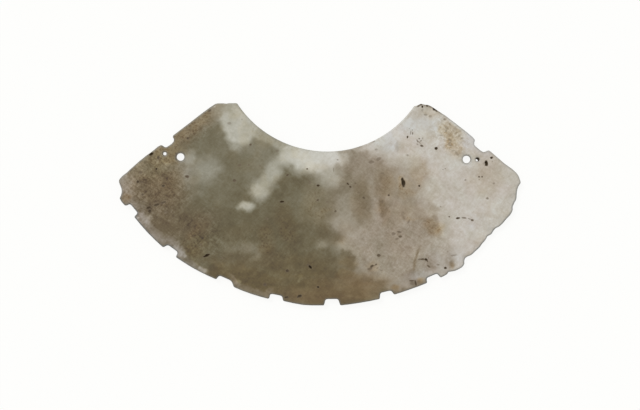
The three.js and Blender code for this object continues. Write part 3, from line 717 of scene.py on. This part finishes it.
# Brown staining, and how random hills and streaks break it up
LEAST_RUST = 0.55
RUST_SPREAD = 0.9
RUST_STREAKS = 0.8
RUST_PATCHES = [
    (156, 177, 25, 34, 0.84, 20), (188, 130, 32, 9, 1, 37), (164, 158, 22, 12, 1.15, 30),
    (206, 116, 9, 6, 0.9, 35), (169, 147, 5, 3.5, 1.5, 35), (221, 266, 7, 5, 1.3),
    (396, 289, 5, 3, 1.2, -20), (423, 281, 3.5, 3, 1.2), (460, 151, 3.5, 5, 0.6, -30),
    (127, 198, 5, 6, 1.1), (196, 242, 12, 22, 0.9, -15), (228, 236, 24, 10, 0.4, 0, 0.8),
    (172, 226, 14, 12, 0.4), (245, 278, 46, 13, 1.5, -14), (318, 292, 34, 16, 1.6), (318, 303, 14, 4, 2),
    (347, 264, 8, 6, 0.9), (352, 290, 30, 14, 1.35), (295, 268, 42, 13, 1.1, -5), (266, 239, 9, 16, 1.1),
    (220, 276, 10, 5, 1.6, -20), (195, 250, 10, 8, 1.3), (287, 226, 9, 20, 0.85, 20), (324, 209, 8, 4, 0.7),
    (262, 140, 9, 6, 0.45, -30), (345, 276, 11, 6, 1.2), (373, 266, 7, 5, 0.7, 20), (407, 190, 8, 8, 0.55),
    (317, 208, 16, 14, 0.45), (360, 200, 9, 20, 0.35), (388, 184, 10, 14, 0.5), (386, 212, 7, 14, 0.4),
    (383.5, 207, 3.2, 9, 0.7), (418, 172, 8.5, 15, 0.4, 10, 0.5), (402.5, 183.5, 4, 6.5, 0.9),
    (434, 227.5, 11.5, 8, 0.7, -40, 0.5), (439, 231, 4, 4, 0.85), (416, 218.5, 14, 1.3, 0.55, -3),
    (410, 212, 24, 8, 0.25, -10), (447, 130, 8, 9, 0.5, 15, 0.5), (451, 142, 7, 9, 0.7, 0, 0.5),
    (459, 137, 8, 6, 0.6, -10), (456, 152, 7, 6, 0.5, -30), (430, 114, 9, 4, 0.2), (487, 178, 14, 16, 0.2),
    (451.5, 265.5, 2.3, 4, 0.65, 0, 0.5), (336, 241, 9, 5, 0.35), (424, 283, 5, 3, 0.6, 20),
    (240, 110, 10, 8, 0.25),
]


def rust_of(x, y):
    """The strength of the brown staining: the strongest of the soft patches, broken up by random hills, which
    are level streaks along the bottom."""
    rust = strongest_patch(*bent(x, y, 71), RUST_PATCHES)
    hilly = clouds(x, y, 2.5, seed=75, layers=3)
    streaks = clouds(0.3 * x, y, 2.2, seed=76, layers=3)
    return rust * (LEAST_RUST + RUST_SPREAD * mix(hilly, streaks, RUST_STREAKS * streaky(y)))


# The olive stone's border in steps across, how far it wanders and fades to the left and the right, the traces
# beyond it, and where the stone is less olive: the share that is left
OLIVE_BORDER = 345
OLIVE_WANDER = 14
OLIVE_FADE = (22, 18)
OLIVE_TRACES = 0.3
OLIVE_PATCHES = [
    (150, 192, 38, 60, 0.42, 0, 0.5), (158, 162, 24, 14, 0.8, 30), (194, 224, 22, 12, 0.55, 20),
    (196, 124, 34, 11, 0.6, 35, 0.5), (121, 196, 14, 30, 0.2, 10), (350, 286, 36, 12, 0.6),
    (318, 298, 44, 9, 0.5), (246, 256, 28, 12, 0.8),
]


def olive_of(x, y):
    """How olive the stone is: full on the left and along the bottom, fading out on the right. The border
    stands OLIVE_BORDER steps across, moves right by half of what lies more than 10 mm down, and wanders."""
    hilly = OLIVE_WANDER * (clouds(x, y, 14, seed=81, layers=3) - 0.5)
    border = place(OLIVE_BORDER, 0)[0] + 0.5 * np.clip(-y - 10, 0, None) + hilly
    right_side = OLIVE_TRACES * clouds(x, y, 5, seed=84, layers=3)
    left_side = patch_level(*bent(x, y, 87), 1, OLIVE_PATCHES)
    return mix(right_side, left_side, 1 - ease(x, border - OLIVE_FADE[0], border + OLIVE_FADE[1]))


# Where the stone is bluish
COOL_PATCHES = [
    (122, 183, 10, 16, 0.7, 10, 0.4), (200, 168, 22, 14, 0.35), (189, 156, 7, 7, 0.7),
    (187, 173, 7, 8, 0.6), (133, 204, 6, 5, 0.8), (388, 144, 9, 9, 0.6, 0, 0.8), (422, 124, 26, 8, 0.45),
    (470, 140, 8, 12, 0.5, -40), (482, 150, 12, 6, 0.5, -35), (476, 222, 12, 8, 0.4, 0, 0.8),
    (444, 262, 22, 14, 0.5), (417, 277, 16, 7, 0.95, 10), (194, 190, 10, 10, 0.5), (139, 206, 9, 7, 0.8),
    (204, 268, 9, 4, 0.9, 28), (237, 284, 5, 4, 0.9, 30),
]


VEIN_FOOT = (413.8, 272)
VEIN_REACH = 12


def vein_of(x, y):
    """The brown hairline: nearness to a parabola, rise^2 / 40 to the right of its foot and wavy by 0.1 mm,
    that fades out on its way up to its reach."""
    foot_x, foot_y = place(*VEIN_FOOT)
    rise = y - foot_y
    aside = x - foot_x - rise ** 2 / 40 + 0.1 * np.sin(1.7 * rise)
    return (1 - ease(np.abs(aside), 0.1, 0.7)) * ease(rise, 0, 1.2) * (1 - ease(rise, 7.5, VEIN_REACH))


def facing_lower_left(x, y):
    """A mask of the part of the plate whose rim faces down and left."""
    return ease(-x - 0.6 * y, 22, 40) * ease(-y, -6, 6)


# A gap in the band: an ellipse's across, down, half length and half width in steps, and its turn
BAND_GAP = (219, 274, 12, 9, -20)
BAND_GAP_BORDER = (0.6, 1.3)


def pale_band_of(x, y, edge_gap):
    """The paler band inside the rim on the lower left: strong at the rim's arc and gone a few millimetres in,
    with a wandering inner border, farther in on the far left, and with one gap."""
    wide = ease(-x, 48, 56)
    narrow_reach = 1.4 + 2.4 * clouds(x, y, 3, seed=91, layers=3)
    wide_reach = 2.6 + 5.4 * clouds(x, y, 7, seed=94, layers=3)
    reach = mix(narrow_reach, wide_reach, wide)
    lower_left = facing_lower_left(x, y) * ease(-x, 17.5, 20)
    beyond_gap = ease(ellipse_share(x, y, *BAND_GAP), *BAND_GAP_BORDER)
    return lower_left * (1 - ease(edge_gap, mix(0.75, 0.3, wide) * reach, reach)) * beyond_gap


BLUSH_RANGE = (0.3, 0.7)


def blush_of(x, y, olive):
    """The pinkish tinge of grey stone: random hills stretched to their full range, none on olive stone."""
    return ease(clouds(x, y, 6, seed=97, layers=3), *BLUSH_RANGE) * (1 - olive)


# The darker line of painted shade just inside the edge: where it fades out, and its strength on the hollow
# side and on the rim, told apart by the distance from the hollow's middle, which lies BAY_MIDDLE up from the
# plate's own
EDGE_SHADE_FADE = (0.15, 0.85)
HOLLOW_SHADE = 0.2
RIM_SHADE = 0.5
BAY_MIDDLE = 64
BAY_BORDER = (46, 50)


def painted_edge_shade_of(x, y, edge_gap):
    """The strength of the painted shade, a darker line just inside the edge: a little weaker on the upper
    right, stronger at the far left and on the lower right, and uneven all along."""
    on_rim = ease(np.hypot(x, y - BAY_MIDDLE), *BAY_BORDER)
    strength = (1 - ease(edge_gap, *EDGE_SHADE_FADE)) * mix(HOLLOW_SHADE, RIM_SHADE, on_rim)
    strength *= 1 - 0.2 * ease(x, 20, 30) * ease(y, -2, 6)
    strength *= mix(1, 1.8, ease(-x, 50, 62) * ease(-y, -8, 4))
    strength *= mix(1, 1.5, ease(x, 36, 44) * ease(-y, -12, -4))
    return strength * mix(0.65, 1.3, clouds(x, y, 3, seed=103, layers=3))


# What the pale band does to the stone: it covers its tone, takes away olive and rust, and makes it bluish,
# the last two by more on the far left. Faint rust lies all over, and the hairline is rusty and a shade
# darker.
BAND_COVER = 0.9
BAND_OLIVE_LOSS = 0.6
BAND_RUST_LOSS = (0.6, 0.9)
BAND_COOL = (0.3, 1)
FAR_LEFT = (40, 54)
FAINT_RUST = 0.3
VEIN_RUST = 0.55
VEIN_SHADE = 0.1


def stone_fields(x, y, edge_gap, specks):
    """Every mask that the stone's material reads, for points at x and y. The clouds are the same on both
    faces, as if seen through the stone; only the specks differ."""
    band = pale_band_of(x, y, edge_gap)
    far_left = ease(-x, *FAR_LEFT)
    vein = vein_of(x, y)
    olive = olive_of(x, y) * (1 - BAND_OLIVE_LOSS * band)
    faint_rust = FAINT_RUST * ease(clouds(x, y, 5, seed=78), 0.45, 0.75) * mix(0.4, 1, olive)
    rust = (rust_of(x, y) + faint_rust) * (1 - mix(*BAND_RUST_LOSS, far_left) * band)
    rust = np.maximum(rust, VEIN_RUST * vein)
    cool = strongest_patch(*bent(x, y, 89), COOL_PATCHES)
    return {
        "tone": mix(tone_of(x, y), band_tone_of(x, y), BAND_COVER * band) - VEIN_SHADE * vein,
        "rust": rust,
        "grain": np.minimum(rust, 0.9) * (1 - 0.6 * ease(-y, 16, 26)),
        "olive": olive,
        "blush": blush_of(x, y, olive),
        "cool": np.maximum(mix(*BAND_COOL, far_left) * band, cool),
        "felt": felt_of(x, y),
        "speck_and_shade": speck_fields(x, y, specks)[0],
        "edge": painted_edge_shade_of(x, y, edge_gap),
    }


# The plate: two faces, the wall between them and one in each hole, and a thin dark line of painted shade
# round each mouth. A wall's stone is that of a place at its gap inside the edge.
WALL_STEPS = 6
WALL_ROUGHNESS = 0.05
WALL_GAP = 0.5
HOLE_STEPS = 15
HOLE_WAVES = 0.02
HOLE_GAP = 0.6
MOUTH_DEPTH = 0.1
MOUTH_SHADE = 0.35
MOUTH_SHADE_FADE = (0.1, 0.5)


class PlateSurface:
    """The plate's closed surface, put together block by block: points, their masks, and triangles."""

    def __init__(self):
        self.blocks = []
        self.fields = []
        self.triangles = []
        self.count = 0

    def add(self, points, z, masks):
        """Takes in points of the plane at the heights z, with their masks, and gives back their numbers."""
        self.blocks.append(np.column_stack([points, np.broadcast_to(z, len(points))]))
        self.fields.append(masks)
        numbers = np.arange(len(points)) + self.count
        self.count += len(points)
        return numbers

    def wall(self, rows, facing):
        """Joins closed rows of points, each to the next one down, by two triangles a step, which face
        outwards (1) from anticlockwise rows or towards their middle (-1)."""
        for front, back in zip(rows, rows[1:]):
            next_front, next_back = np.roll(front, -1), np.roll(back, -1)
            lower = np.column_stack([back, next_back, next_front])
            upper = np.column_stack([back, next_front, front])
            self.triangles.append(np.vstack([lower, upper])[:, ::facing])

    def joined(self):
        """All points, all triangles, and each mask at every point."""
        masks = {name: np.concatenate([block[name] for block in self.fields]) for name in self.fields[0]}
        return np.vstack(self.blocks), np.vstack(self.triangles), masks


def add_face(surface, outline, cad_outline, holes, side, specks):
    """Adds the front (1) or the back (-1) face and gives back its points' numbers and heights."""
    points, faces = face_mesh(outline, cad_outline, holes, side, specks)
    gap = distance_to(outline, points)
    gap[:len(outline)] = 0
    hole_gaps = [mouth_distance(hole, side, points) for hole in holes]
    depth = face_depth(points, side, gap, hole_gaps, specks)
    z = THICKNESS - depth if side > 0 else depth
    masks = stone_fields(*points.T, gap, specks)
    # Painted shade round each mouth: a thin dark line, laid into the edge's mask
    mouth_shade = MOUTH_SHADE * (1 - ease(np.min(hole_gaps, axis=0), *MOUTH_SHADE_FADE))
    masks["edge"] = np.maximum(masks["edge"], mouth_shade)
    numbers = surface.add(points, z, masks)
    surface.triangles.append(numbers[faces[:, ::side]])
    return numbers, z


def add_edge_wall(surface, outline, front_numbers, back_numbers, front, back):
    """Adds the wall along the outline between the two faces' edges at the heights front and back: even steps
    down, roughened by random hills that shift from step to step and are strongest halfway."""
    outward = normals_of(outline)
    x, y = outline.T
    rows = [front_numbers]
    for step in range(1, WALL_STEPS):
        share = step / WALL_STEPS
        z = mix(front, back, share)
        inwards = WALL_ROUGHNESS * clouds(x + 7 * share, y + 5 * share, 0.9, seed=101, layers=2)
        inwards *= math.sin(math.pi * share)
        points = outline - outward * inwards[:, None]
        under_edge = WALL_GAP + np.minimum(front - z, z - back)
        rows.append(surface.add(points, z, stone_fields(*points.T, under_edge, [])))
    surface.wall([*rows, back_numbers], 1)


def add_hole_wall(surface, hole, front_numbers, back_numbers):
    """Adds the wall of one hole between its two mouths: circles whose radius follows the hole's profile, with
    slight waves that turn on the way down, and painted shade on it, darkest at the mouths."""
    rows = [front_numbers]
    for z in np.linspace(THICKNESS - MOUTH_DEPTH, MOUTH_DEPTH, HOLE_STEPS):
        radius = hole_radius(hole, z) + HOLE_WAVES * np.sin(2 * TURNS + 9 * z)
        points = hole_middle(hole, z) + CIRCLE * radius[:, None]
        masks = stone_fields(*points.T, np.full(HOLE_SIDES, HOLE_GAP), [])
        # Painted shade inside the hole, carried by the speck mask: half strength at the waist, full at the
        # mouths
        masks["speck_and_shade"] = np.full(HOLE_SIDES, hole["stain_and_shade"] * (0.5 + 0.5 * abs(z / MIDDLE - 1)))
        rows.append(surface.add(points, z, masks))
    surface.wall([*rows, back_numbers], -1)


def plate_mesh(cad_outline, holes):
    """The whole plate as points in millimetres, triangles, and the masks at every point. Each face's points
    begin with the outline and the mouths, so the walls find their end rows by number."""
    outline = worn_outline(cad_outline)
    count = len(outline)
    surface = PlateSurface()
    front, front_z = add_face(surface, outline, cad_outline, holes, 1, FRONT_SPECKS)
    back, back_z = add_face(surface, outline, cad_outline, holes, -1, BACK_SPECKS)
    add_edge_wall(surface, outline, front[:count], back[:count], front_z[:count], back_z[:count])
    for number, hole in enumerate(holes):
        mouth = np.arange(HOLE_SIDES) + count + number * HOLE_SIDES
        add_hole_wall(surface, hole, front[mouth], back[mouth])
    return surface.joined()


def mesh_object(name, points, triangles, masks):
    """A smooth mesh object from points in millimetres, with a number for every point in each named mask."""
    mesh = bpy.data.meshes.new(name)
    mesh.from_pydata((points * MM).tolist(), [], triangles.tolist(), shade_flat=False)
    for mask, values in masks.items():
        layer = mesh.attributes.new(mask, "FLOAT", "POINT")
        layer.data.foreach_set("value", values.astype(np.float32))
    mesh.validate()
    made = bpy.data.objects.new(name, mesh)
    bpy.context.scene.collection.objects.link(made)
    return made


# Materials

def shade(red, green, blue):
    """A colour as the eye sees it, 0 to 255, as the light values that a shader mixes."""
    seen = np.array([red, green, blue]) / 255
    light = np.where(seen <= 0.04045, seen / 12.92, ((seen + 0.055) / 1.055) ** 2.4)
    return (*light.tolist(), 1)


POLISH_GLOSS = 0.033
DARKEST = 0.002


def under_polish(red, green, blue):
    """The stone's own colour, where it should be seen as the given one: the share of light that its polish
    always adds is taken off first."""
    seen = np.array(shade(red, green, blue)[:3])
    return (*np.clip((seen - POLISH_GLOSS) / (1 - POLISH_GLOSS), DARKEST, 1).tolist(), 1)


def node(tree, kind, inputs=None, **settings):
    """A new node of a kind, with its settings, and its inputs, by name or number, set to a value or linked to
    another node's socket."""
    made = tree.nodes.new(kind)
    for name, value in settings.items():
        setattr(made, name, value)
    for name, value in (inputs or {}).items():
        socket = made.inputs[name]
        if isinstance(value, bpy.types.NodeSocket):
            tree.links.new(value, socket)
        else:
            socket.default_value = value
    return made


def math_of(tree, operation, *values):
    """The result of a sum on two or three numbers or sockets."""
    return node(tree, "ShaderNodeMath", dict(enumerate(values)), operation=operation).outputs[0]


def colour_mix(tree, share, first, second, blend="MIX"):
    """Two colours mixed by a share. The node's colours are inputs 6 and 7 and its result is output 2."""
    inputs = {0: share, 6: first, 7: second}
    return node(tree, "ShaderNodeMix", inputs, data_type="RGBA", blend_type=blend).outputs[2]


def tone_ramp(tree, tone, stops):
    """A colour for each tone, blended between stops of tone and colour."""
    made = tree.nodes.new("ShaderNodeValToRGB")
    elements = made.color_ramp.elements
    while len(elements) < len(stops):
        elements.new(1)
    for element, (level, colour) in zip(elements, stops):
        element.position = level / 255
        element.color = under_polish(*colour)
    tree.links.new(tone, made.inputs[0])
    return made.outputs[0]


def group_tree(name, inputs, outputs):
    """An empty shader node group with named number, colour or vector sockets."""
    tree = bpy.data.node_groups.new(name, "ShaderNodeTree")
    for socket, kind in inputs.items():
        tree.interface.new_socket(socket, in_out="INPUT", socket_type=kind)
    for socket, kind in outputs.items():
        tree.interface.new_socket(socket, in_out="OUTPUT", socket_type=kind)
    return tree, tree.nodes.new("NodeGroupInput"), tree.nodes.new("NodeGroupOutput")


def drawn_noise(tree, position, angle, stretch, **noise):
    """Noise drawn out along one direction: places are turned about Z by an angle and scaled by a stretch."""
    turned = node(tree, "ShaderNodeVectorRotate", {"Vector": position, "Axis": (0, 0, 1), "Angle": angle})
    drawn = node(tree, "ShaderNodeMapping", {"Vector": turned.outputs[0], "Scale": stretch})
    return node(tree, "ShaderNodeTexNoise", {"Vector": drawn.outputs[0], **noise}).outputs[0]


FIBRE_TURNS = (35, -50)
FIBRE_STRETCH = (0.5, 1, 1)


def felt_group():
    """Nephrite's felted fibres: two fine noises, each drawn out along its own direction, and averaged."""
    tree, given, result = group_tree(
        "felted_fibres",
        {"Position": "NodeSocketVector", "Scale": "NodeSocketFloat"},
        {"Felt": "NodeSocketFloat"},
    )
    position, scale = given.outputs["Position"], given.outputs["Scale"]
    strands = [
        drawn_noise(tree, position, math.radians(turn), FIBRE_STRETCH,
                    Scale=scale, Detail=3, Roughness=0.6, Distortion=0.6)
        for turn in FIBRE_TURNS
    ]
    total = math_of(tree, "ADD", *strands)
    tree.links.new(math_of(tree, "MULTIPLY", total, 0.5), result.inputs["Felt"])
    return tree


SCRATCH_STRETCH = (90, 2600, 400)
SCRATCH_PEAKS = {"From Min": 0.6, "From Max": 0.78}


def polish_group():
    """Fine polishing scratches: noise drawn out into long thin lines, of which only the peaks are kept."""
    tree, given, result = group_tree(
        "polishing_scratches",
        {"Position": "NodeSocketVector", "Turn": "NodeSocketFloat"},
        {"Scratches": "NodeSocketFloat"},
    )
    position, turn = given.outputs["Position"], given.outputs["Turn"]
    noise = drawn_noise(tree, position, turn, SCRATCH_STRETCH, Scale=1, Detail=2, Roughness=0.6)
    inputs = {"Value": noise, **SCRATCH_PEAKS}
    peaks = node(tree, "ShaderNodeMapRange", inputs, interpolation_type="SMOOTHSTEP")
    tree.links.new(peaks.outputs[0], result.inputs["Scratches"])
    return tree


# The colours of the olive and of the grey stone, as the eye sees them, at some tones
OLIVE_STOPS = [
    (70, (79, 69, 49)),
    (95, (103, 95, 72)),
    (110, (117, 111, 90)),
    (135, (140, 135.5, 118)),
    (160, (163.5, 160.5, 145)),
    (190, (192, 190, 178)),
    (215, (216, 216, 208)),
]
GREY_STOPS = [
    (70, (84, 67, 47)),
    (100, (112, 98, 76)),
    (125, (135.5, 122.5, 103)),
    (150, (160, 148.5, 132)),
    (175, (181.5, 174, 160)),
    (190, (194.5, 189.5, 179)),
    (205, (205, 204.5, 198)),
]

# What the masks bring to these: tints that multiply them, and colours that cover them
BLUSH_TINT = (1, 0.945, 0.97, 1)
COOL_TINT = (0.9, 0.932, 1, 1)
GREY_STAIN = (0.98, 0.81, 0.54, 1)
OLIVE_STAIN = (1, 0.86, 0.56, 1)
GRAIN_TINT = (0.6, 0.47, 0.26, 1)
# Painted shade: the colour of the darker line along the edge and round the holes' mouths
EDGE_SHADE_COLOUR = shade(98, 100, 97)
# The specks' colours, which also paint the shade inside the holes
SPECK_AND_SHADE_BROWN = shade(96, 80, 56)
SPECK_AND_SHADE_BLACK = shade(60, 50, 34)
BLUSH_SHARE = 0.6
STAIN_SHARE = 0.72

# Noise scales are in waves to a metre, turns in degrees and the relief's height in metres. Grains show where
# noise plus a share of the grain mask passes the range. A speck turns brown and black at the rates given.
FIBRE_SCALES = (500, 1300)
FIBRE_SHARES = (0.45, 0.55)
FIBRE_RELIEF = 0.5
GRAIN_SCALE = 1400
GRAIN_SPREAD = 0.16
GRAIN_RANGE = {"From Min": 0.64, "From Max": 0.8}
SCRATCH_TURNS = (-38, -52, 8)
SCRATCH_TONE = 0.012
SCRATCH_RELIEF = -0.35
TO_BROWN = 1.5
TO_BLACK = (1.8, -0.8)
LEAST_ROUGHNESS = 0.3
RELIEF_STRENGTH = 0.35
RELIEF_HEIGHT = 0.00006
NEPHRITE_IOR = 1.61
MASK_NAMES = ("tone", "rust", "grain", "olive", "blush", "cool", "felt", "speck_and_shade", "edge")


def group_outputs(tree, group, output, position, setting, values):
    """One output of a group, placed in a material once for each value of one of its settings."""
    return [
        node(tree, "ShaderNodeGroup", {"Position": position, setting: value}, node_tree=group).outputs[output]
        for value in values
    ]


def jade_material():
    """Nephrite: the masks laid out on the plate pick colours from two ramps, olive and grey, with felted
    fibres in them; brown stains, black specks and painted shade, a darker line along the edges and dark
    hole walls, lie over them, with fine scratches on top."""
    material = bpy.data.materials.new("jade")
    material.use_nodes = True
    tree = material.node_tree
    shader = tree.nodes["Principled BSDF"]
    masks = {
        name: node(tree, "ShaderNodeAttribute", attribute_name=name).outputs["Fac"]
        for name in MASK_NAMES
    }
    position = node(tree, "ShaderNodeTexCoord").outputs["Object"]
    felts = group_outputs(tree, felt_group(), "Felt", position, "Scale", FIBRE_SCALES)
    turns = [math.radians(turn) for turn in SCRATCH_TURNS]
    scratches = group_outputs(tree, polish_group(), "Scratches", position, "Turn", turns)
    scratch = math_of(tree, "MAXIMUM", math_of(tree, "MAXIMUM", *scratches[:2]), scratches[2])

    # Fibres and scratches move the tone that picks the stone's colour
    felt = math_of(tree, "ADD", *(math_of(tree, "MULTIPLY", *pair) for pair in zip(felts, FIBRE_SHARES)))
    strands = math_of(tree, "MULTIPLY", math_of(tree, "SUBTRACT", felt, 0.5), masks["felt"])
    tone = math_of(tree, "ADD", masks["tone"], strands)
    tone = math_of(tree, "MULTIPLY_ADD", scratch, SCRATCH_TONE, tone)
    grey, olive = tone_ramp(tree, tone, GREY_STOPS), tone_ramp(tree, tone, OLIVE_STOPS)
    colour = colour_mix(tree, masks["olive"], grey, olive)
    blush = math_of(tree, "MULTIPLY", masks["blush"], BLUSH_SHARE)
    colour = colour_mix(tree, blush, colour, BLUSH_TINT, "MULTIPLY")
    colour = colour_mix(tree, masks["cool"], colour, COOL_TINT, "MULTIPLY")

    # Brown stains: an even wash, and small grains where it is strong
    stain_and_shade = colour_mix(tree, masks["olive"], GREY_STAIN, OLIVE_STAIN)
    wash = math_of(tree, "MULTIPLY", masks["rust"], STAIN_SHARE)
    colour = colour_mix(tree, wash, colour, stain_and_shade, "MULTIPLY")
    noise = {"Vector": position, "Scale": GRAIN_SCALE, "Detail": 2, "Roughness": 0.55}
    spots = node(tree, "ShaderNodeTexNoise", noise).outputs[0]
    spread = math_of(tree, "MULTIPLY_ADD", masks["grain"], GRAIN_SPREAD, spots)
    grains = node(tree, "ShaderNodeMapRange", {"Value": spread, **GRAIN_RANGE}).outputs[0]
    grain = math_of(tree, "MULTIPLY", grains, masks["grain"])
    colour = colour_mix(tree, grain, colour, GRAIN_TINT, "MULTIPLY")

    # The painted shade along the edge and round the mouths, and specks from brown to black, metallic so that
    # the polish adds no light to them; the specks' colours also paint the shade inside the holes
    colour = colour_mix(tree, masks["edge"], colour, EDGE_SHADE_COLOUR)
    brown = math_of(tree, "MINIMUM", math_of(tree, "MULTIPLY", masks["speck_and_shade"], TO_BROWN), 1)
    black = math_of(tree, "MAXIMUM", math_of(tree, "MULTIPLY_ADD", masks["speck_and_shade"], *TO_BLACK), 0)
    colour = colour_mix(tree, brown, colour, SPECK_AND_SHADE_BROWN)
    colour = colour_mix(tree, black, colour, SPECK_AND_SHADE_BLACK)
    tree.links.new(black, shader.inputs["Metallic"])
    tree.links.new(colour, shader.inputs["Base Color"])

    # The polish: duller along scratches, fibres, specks and the edge, each by its own share
    rough = LEAST_ROUGHNESS
    for mask, share in ((scratch, 0.18), (felts[0], 0.12), (masks["speck_and_shade"], 0.35), (masks["edge"], 0.25)):
        rough = math_of(tree, "MULTIPLY_ADD", mask, share, rough)
    tree.links.new(rough, shader.inputs["Roughness"])
    fibre_height = math_of(tree, "MULTIPLY", felts[1], FIBRE_RELIEF)
    relief = {
        "Strength": RELIEF_STRENGTH,
        "Distance": RELIEF_HEIGHT,
        "Height": math_of(tree, "MULTIPLY_ADD", scratch, SCRATCH_RELIEF, fibre_height),
    }
    bump = node(tree, "ShaderNodeBump", relief)
    tree.links.new(bump.outputs[0], shader.inputs["Normal"])
    shader.inputs["IOR"].default_value = NEPHRITE_IOR
    return material


FLOOR_COLOUR = (0.8, 0.8, 0.79, 1)
FLOOR_SHADING = (0.08, 0.08, 0.079, 1)
FLOOR_WHITE = (1, 1, 0.985, 1)
FLOOR_GLOW = 0.91


def rays_of(tree, *kinds):
    """1 for a ray of any of the kinds, such as the camera's, and 0 for any other."""
    path = node(tree, "ShaderNodeLightPath")
    seen = path.outputs[kinds[0]]
    for kind in kinds[1:]:
        seen = math_of(tree, "MAXIMUM", seen, path.outputs[kind])
    return seen


def floor_material():
    """The pale floor: matt, but white to the camera, with enough of its own shading to keep the shadow."""
    material = bpy.data.materials.new("pale_floor")
    material.use_nodes = True
    tree = material.node_tree
    tree.nodes.remove(tree.nodes["Principled BSDF"])
    seen = rays_of(tree, "Is Camera Ray", "Is Glossy Ray", "Is Transmission Ray")
    matt = node(tree, "ShaderNodeBsdfDiffuse", {"Color": FLOOR_COLOUR})
    shadow = node(tree, "ShaderNodeBsdfDiffuse", {"Color": FLOOR_SHADING})
    glow = node(tree, "ShaderNodeEmission", {"Color": FLOOR_WHITE, "Strength": FLOOR_GLOW})
    pale = node(tree, "ShaderNodeAddShader", {0: shadow.outputs[0], 1: glow.outputs[0]})
    either = node(tree, "ShaderNodeMixShader", {0: seen, 1: matt.outputs[0], 2: pale.outputs[0]})
    tree.links.new(either.outputs[0], tree.nodes["Material Output"].inputs["Surface"])
    return material


# The piece. The holes' waists are the CAD plate's, from left to right.

cad_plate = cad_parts["jade_plate"]
cad_outline, *waists = cut_loops(cad_plate)
waists = sorted(waists, key=lambda loop: loop[:, 0].mean())
for hole, waist in zip(HOLES, waists):
    hole["waist"] = waist.mean(0)
    hole["radius"] = np.hypot(*(waist - waist.mean(0)).T).mean()

plate = mesh_object("jade_pendant", *plate_mesh(cad_outline, HOLES))
plate.data.materials.append(jade_material())
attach(plate, "root")
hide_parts("jade_plate")

# The floor, the light and the camera

FLOOR_DROP = 0.00002
FLOOR_HALF = 3
floor_mesh = bpy.data.meshes.new("floor")
corners = [(x * FLOOR_HALF, y * FLOOR_HALF, -FLOOR_DROP) for x, y in ((-1, -1), (1, -1), (1, 1), (-1, 1))]
floor_mesh.from_pydata(corners, [], [(0, 1, 2, 3)])
floor = bpy.data.objects.new("floor", floor_mesh)
bpy.context.scene.collection.objects.link(floor)
floor_mesh.materials.append(floor_material())

SKY_STRENGTH = 0.64
LAMP_SHARE = 0.36
LAMP_HEIGHT = math.radians(52)
LAMP_HEADING = math.radians(128)
LAMP_WIDTH = math.radians(24)

world = bpy.data.worlds.new("studio")
world.use_nodes = True
sky_tree = world.node_tree
background = sky_tree.nodes["Background"]
sky_seen = rays_of(sky_tree, "Is Camera Ray", "Is Transmission Ray")
strength = math_of(sky_tree, "MULTIPLY_ADD", sky_seen, 1 - SKY_STRENGTH, SKY_STRENGTH)
sky_tree.links.new(strength, background.inputs["Strength"])
background.inputs["Color"].default_value = (1, 1, 1, 1)
bpy.context.scene.world = world

lamp_data = bpy.data.lights.new("softbox", "SUN")
lamp_data.angle = LAMP_WIDTH
lamp_data.energy = LAMP_SHARE * math.pi / math.sin(LAMP_HEIGHT)
lamp = bpy.data.objects.new("softbox", lamp_data)
towards = Vector((
    math.cos(LAMP_HEIGHT) * math.cos(LAMP_HEADING),
    math.cos(LAMP_HEIGHT) * math.sin(LAMP_HEADING),
    math.sin(LAMP_HEIGHT),
))
lamp.rotation_mode = "QUATERNION"
lamp.rotation_quaternion = towards.to_track_quat("Z", "Y")
lamp.location = towards * 2
bpy.context.scene.collection.objects.link(lamp)

LENS = 100
SENSOR = 36
camera_data = bpy.data.cameras.new("camera")
camera_data.lens = LENS
camera_data.sensor_width = SENSOR
aim_x, aim_y = place(FRAME_ACROSS / 2, FRAME_DOWN / 2)
away = FRAME_ACROSS * STEP * LENS / SENSOR
camera = bpy.data.objects.new("camera", camera_data)
camera.location = (aim_x * MM, aim_y * MM, (THICKNESS + away) * MM)
bpy.context.scene.collection.objects.link(camera)
bpy.context.scene.camera = camera

bpy.context.scene.view_settings.view_transform = "Standard"
